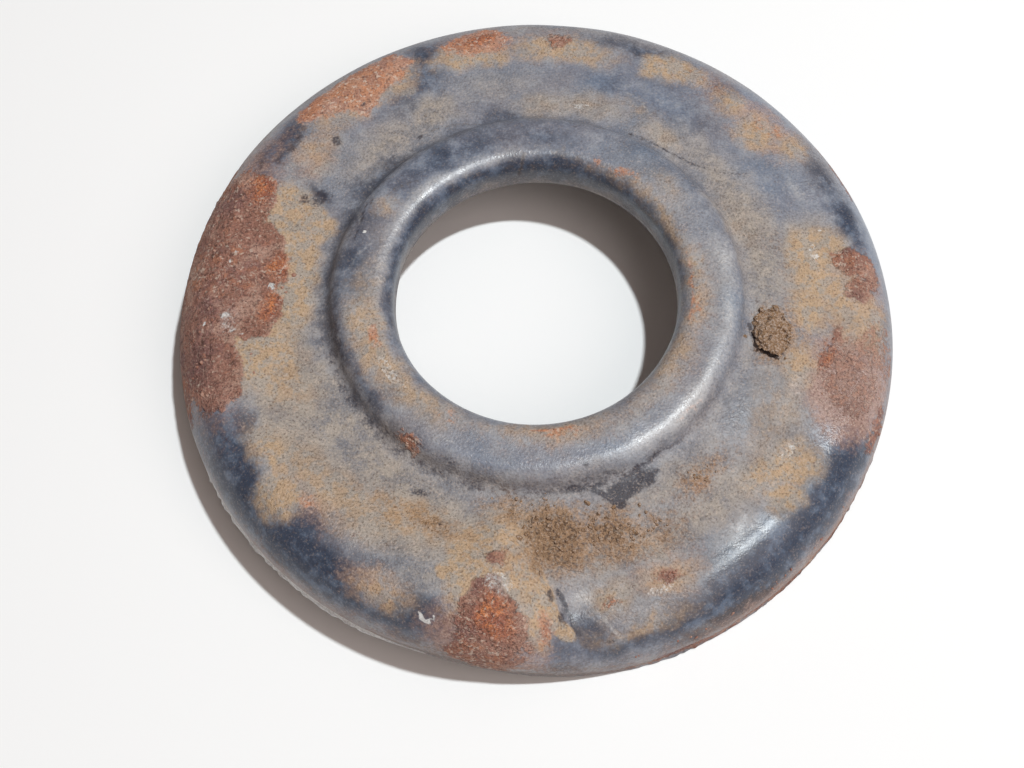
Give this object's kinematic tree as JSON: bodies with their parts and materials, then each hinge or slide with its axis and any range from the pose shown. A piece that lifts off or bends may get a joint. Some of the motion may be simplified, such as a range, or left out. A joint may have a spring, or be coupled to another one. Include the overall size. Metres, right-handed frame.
{
  "type": "coil spring mount",
  "caption": "Round pressed-steel coil spring seat with a lipped centre bore, a raised hub, a climbing seat with a coil stop and a folded rim.",
  "frame": {"origin": "on the bore's axis, level with the lowest point of the rim", "axes": "+Z along the bore's axis, towards the coil spring; +X to the right of the coil stop when it faces the viewer"},
  "size_m": [0.155, 0.155, 0.0245],
  "materials": {
    "painted_steel": "old blue-grey paint, dusty, with patches of red-brown rust"
  },
  "bodies": {
    "root": {"spring_plate": "painted_steel"}
  },
  "joints": []
}
